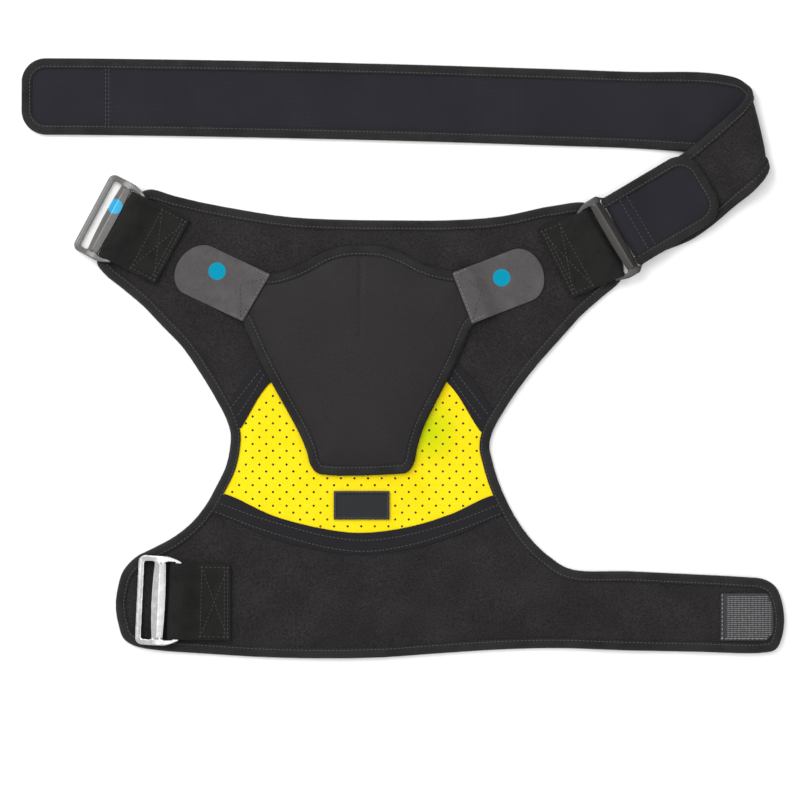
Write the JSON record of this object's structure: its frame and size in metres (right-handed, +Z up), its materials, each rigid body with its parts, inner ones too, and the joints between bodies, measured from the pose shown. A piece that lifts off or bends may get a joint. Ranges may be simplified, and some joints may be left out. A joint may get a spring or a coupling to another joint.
{
  "type": "shoulder brace",
  "caption": "Padded back and shoulder brace laid flat, with a yellow vented waist, a smooth shield, bowed slide buckles and a long folded strap.",
  "frame": {"origin": "middle of the underside of the flat-laid brace's bounding box", "axes": "+X along the lower band towards its hook patch, +Y towards the neck edge, +Z up off the surface it lies on"},
  "size_m": [0.5338, 0.4202, 0.0157],
  "materials": {
    "loop_cloth": "brushed loop pile",
    "binding_tape": "knitted tape",
    "yellow_cloth": "perforated knit on foam",
    "shield_cloth": "smooth fine knit",
    "grey_tab": "microfibre suede",
    "label_rubber": "matt moulded",
    "hook_patch": "ribbed hook tape",
    "webbing": "ribbed webbing",
    "buckle": "polished",
    "strap_lining": "smooth jersey"
  },
  "bodies": {
    "root": {"edge_binding": "binding_tape", "yoke_panel": "loop_cloth", "vent_panel": "yellow_cloth", "lower_band": "loop_cloth", "seam_tape_left": "binding_tape", "seam_tape_right": "binding_tape", "seam_tape_lower": "binding_tape", "shield_panel": "shield_cloth", "shield_binding": "binding_tape", "tab_left": "grey_tab", "tab_right": "grey_tab", "label_patch": "label_rubber", "band_hook_patch": "hook_patch", "webbing_left": "webbing", "webbing_lower": "webbing", "webbing_right": "webbing", "buckle_left": "buckle", "buckle_lower": "buckle", "buckle_right": "buckle", "long_strap": "strap_lining", "strap_binding": "binding_tape"}
  },
  "joints": []
}
